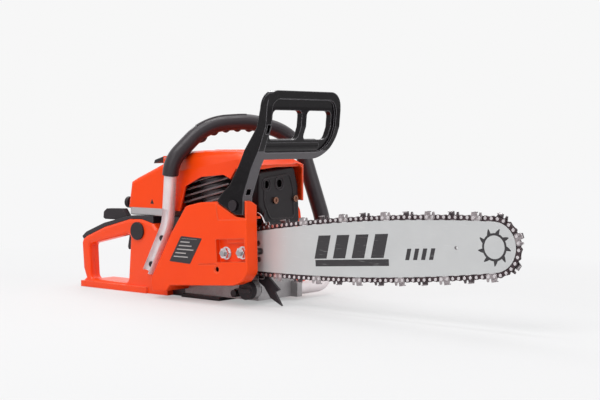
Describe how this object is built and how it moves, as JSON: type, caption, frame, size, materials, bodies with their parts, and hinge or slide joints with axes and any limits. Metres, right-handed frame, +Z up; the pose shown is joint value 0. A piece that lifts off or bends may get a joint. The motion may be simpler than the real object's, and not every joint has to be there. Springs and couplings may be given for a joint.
{
  "type": "chainsaw",
  "caption": "Petrol chainsaw with a guide bar and saw chain, clutch cover, hand guard, bent tube front handle, looped rear handle with trigger, air filter cover, finned cylinder and starter",
  "frame": {"origin": "On the ground plane under the crankshaft axis, in the middle plane of the guide bar; it lies on the underside of the rubber foot.", "axes": "+X points forward along the guide bar to its nose, +Y to the operator's left, +Z up."},
  "size_m": [0.7679, 0.2066, 0.2887],
  "materials": {
    "orange_plastic": "glossy",
    "guard_plastic": "glossy",
    "black_plastic": "satin",
    "soft_black": "matte",
    "grey_plastic": "satin",
    "filter_felt": "matte",
    "bar_steel": "satin",
    "chain_dark": "satin",
    "bright_steel": "polished",
    "plain_steel": "satin",
    "cast_metal": "satin",
    "black_steel": "matte",
    "tube_metal": "satin"
  },
  "bodies": {
    "saw": {"air_filter": "filter_felt", "air_filter_cover": "orange_plastic", "airbox_base": "grey_plastic", "airbox_seal": "soft_black", "bar_nuts": "bright_steel", "bar_studs": "plain_steel", "base_foot": "soft_black", "brake_band": "plain_steel", "bumper_screws": "plain_steel", "bumper_spikes": "black_steel", "carburettor": "cast_metal", "chain_catcher": "cast_metal", "chain_cutters": "bright_steel", "chain_drive_links": "chain_dark", "chain_rivets": "bright_steel", "chain_tie_straps": "chain_dark", "clutch_cover": "orange_plastic", "clutch_drum": "plain_steel", "crankcase": "cast_metal", "cylinder": "cast_metal", "drive_sprocket": "plain_steel", "front_handle_grip": "soft_black", "front_handle_tube": "tube_metal", "grip_pad": "soft_black", "guard_pivot": "plain_steel", "guide_bar": "bar_steel", "handle_screws": "plain_steel", "ignition_coil": "black_plastic", "intake_boot": "soft_black", "latch_pin": "plain_steel", "lever_pins": "plain_steel", "main_bearings": "plain_steel", "mount_caps": "black_plastic", "muffler": "black_steel", "muffler_guard": "black_steel", "nose_sprocket": "plain_steel", "plug_cap": "soft_black", "rear_handle": "orange_plastic", "shield_screws": "plain_steel", "spark_plug": "plain_steel", "sprocket_bearing": "plain_steel", "starter_cover": "orange_plastic", "top_cover": "orange_plastic", "vibration_mounts": "soft_black"},
    "brake_lever": {"hand_guard": "guard_plastic"},
    "trigger": {"throttle_trigger": "black_plastic"},
    "lockout": {"throttle_lockout": "black_plastic"},
    "choke": {"choke_knob": "black_plastic"},
    "latch": {"filter_latch": "black_plastic"},
    "fuel_cap": {"fuel_cap": "black_plastic"},
    "oil_cap": {"oil_cap": "black_plastic"},
    "switch": {"ignition_switch": "black_plastic"},
    "starter_handle": {"starter_grip": "black_plastic"},
    "starter_drum": {"starter_pulley": "black_plastic"},
    "crank": {"crankshaft": "plain_steel", "clutch_hub": "plain_steel", "clutch_shoes": "plain_steel", "flywheel": "cast_metal"}
  },
  "joints": [
    {"name": "brake_lever_pivot", "type": "hinge", "parent": "saw", "child": "brake_lever", "pos_m": [0.0832, -0.029, 0.1367], "axis": [0, 1, 0], "range_deg": [0, 10]},
    {"name": "trigger_pivot", "type": "hinge", "parent": "saw", "child": "trigger", "pos_m": [-0.154, 0.006, 0.096], "axis": [0, 1, 0], "range_deg": [0, 20], "stiffness_Nm_per_rad": 0.3},
    {"name": "lockout_pivot", "type": "hinge", "parent": "saw", "child": "lockout", "pos_m": [-0.172, 0.006, 0.099], "axis": [0, -1, 0], "range_deg": [0, 7], "stiffness_Nm_per_rad": 1},
    {"name": "choke_pull", "type": "slide", "parent": "saw", "child": "choke", "axis": [-1, 0, 0], "range_m": [0, 0.012]},
    {"name": "latch_pivot", "type": "hinge", "parent": "saw", "child": "latch", "pos_m": [-0.087, 0.012, 0.197], "axis": [0, 1, 0], "range_deg": [0, 80]},
    {"name": "fuel_cap_turn", "type": "hinge", "parent": "saw", "child": "fuel_cap", "pos_m": [-0.092, 0.088, 0.048], "axis": [0, 1, 0], "range_deg": [0, 90]},
    {"name": "oil_cap_turn", "type": "hinge", "parent": "saw", "child": "oil_cap", "pos_m": [0.08, -0.006, 0.02], "axis": [0, -1, 0], "range_deg": [0, 90]},
    {"name": "stop_switch_slide", "type": "slide", "parent": "saw", "child": "switch", "axis": [1, 0, 0], "range_m": [0, 0.006]},
    {"name": "starter_pull", "type": "slide", "parent": "saw", "child": "starter_handle", "axis": [0, 1, 0], "range_m": [0, 0.4], "stiffness_N_per_m": 50},
    {"name": "starter_drum_spin", "type": "hinge", "parent": "saw", "child": "starter_drum", "pos_m": [0, 0.108, 0.067], "axis": [0, 1, 0], "range_deg": [0, 960]},
    {"name": "crank_spin", "type": "hinge", "parent": "saw", "child": "crank", "pos_m": [0, 0.045, 0.067], "axis": [0, 1, 0], "continuous": true}
  ],
  "couplings": [
    {"joint": "starter_drum_spin", "follows": "starter_pull", "rad_per_m": 41.6}
  ]
}
